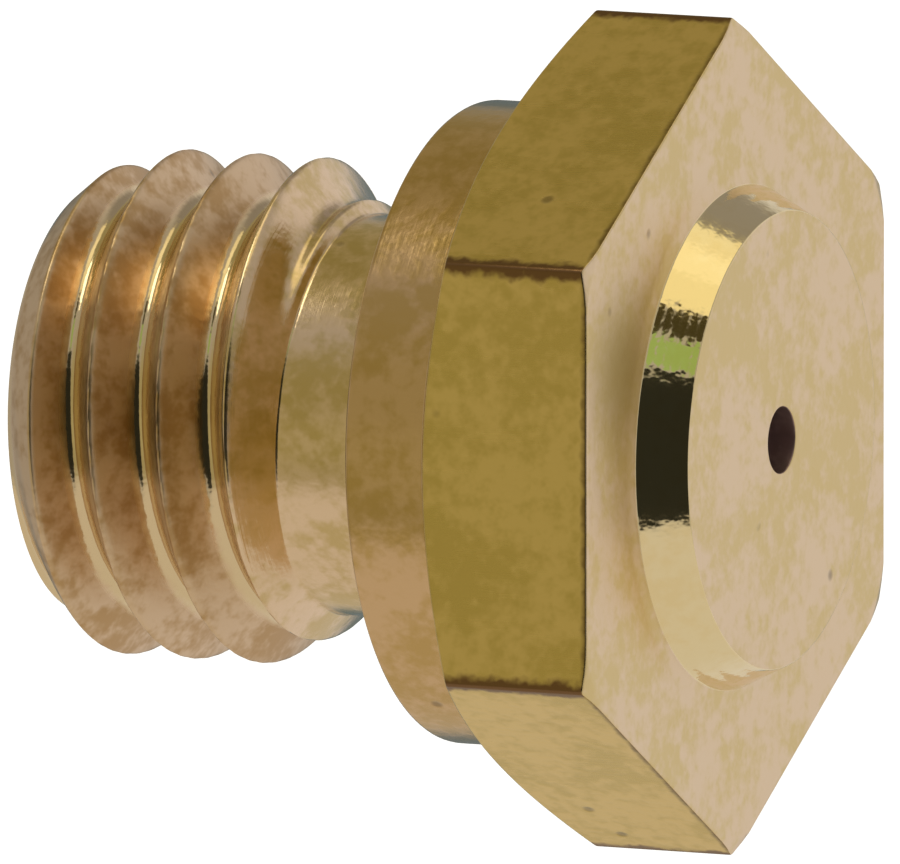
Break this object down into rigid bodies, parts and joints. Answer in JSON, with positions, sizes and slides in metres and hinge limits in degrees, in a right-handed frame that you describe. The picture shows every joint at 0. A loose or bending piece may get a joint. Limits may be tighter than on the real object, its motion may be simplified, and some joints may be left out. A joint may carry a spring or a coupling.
{
  "type": "oil burner nozzle",
  "caption": "Brass spray nozzle with a hexagon head, a raised face with a central mouth, a coarse outside thread, and a swirl plug, hollow screw and strainer inside.",
  "frame": {"origin": "centre of the inlet end face, at the threaded end, on the nozzle's axis", "axes": "+Z along the nozzle's axis in the direction of the spray; +Y through a corner of the hexagon; +X square to one of its flats"},
  "size_m": [0.017, 0.0196, 0.0175],
  "materials": {
    "body_brass": "turned and milled, slightly mottled and tarnished",
    "turned_brass": "bright turned",
    "hardened_steel": "ground and lapped",
    "support_steel": "plain drawn tube",
    "gauze_steel": "fine woven wire"
  },
  "bodies": {
    "body": {"nozzle_body": "body_brass", "orifice_disc": "hardened_steel"},
    "distributor": {"distributor": "hardened_steel"},
    "retaining_screw": {"retaining_screw": "turned_brass"},
    "strainer": {"strainer_ferrule": "turned_brass", "strainer_support": "support_steel", "strainer_gauze": "gauze_steel", "strainer_end_cap": "turned_brass"}
  },
  "joints": [
    {"name": "distributor_slide", "type": "slide", "parent": "body", "child": "distributor", "axis": [0, 0, -1], "range_m": [0, 0.00375]},
    {"name": "retaining_screw_turn", "type": "hinge", "parent": "distributor", "child": "retaining_screw", "pos_m": [0, 0, 0.0092], "axis": [0, 0, -1], "range_deg": [0, 1800]},
    {"name": "strainer_pull", "type": "slide", "parent": "retaining_screw", "child": "strainer", "axis": [0, 0, -1], "range_m": [0, 0.008]}
  ],
  "couplings": [
    {"joint": "retaining_screw_turn", "follows": "distributor_slide", "rad_per_m": 8377.6}
  ]
}
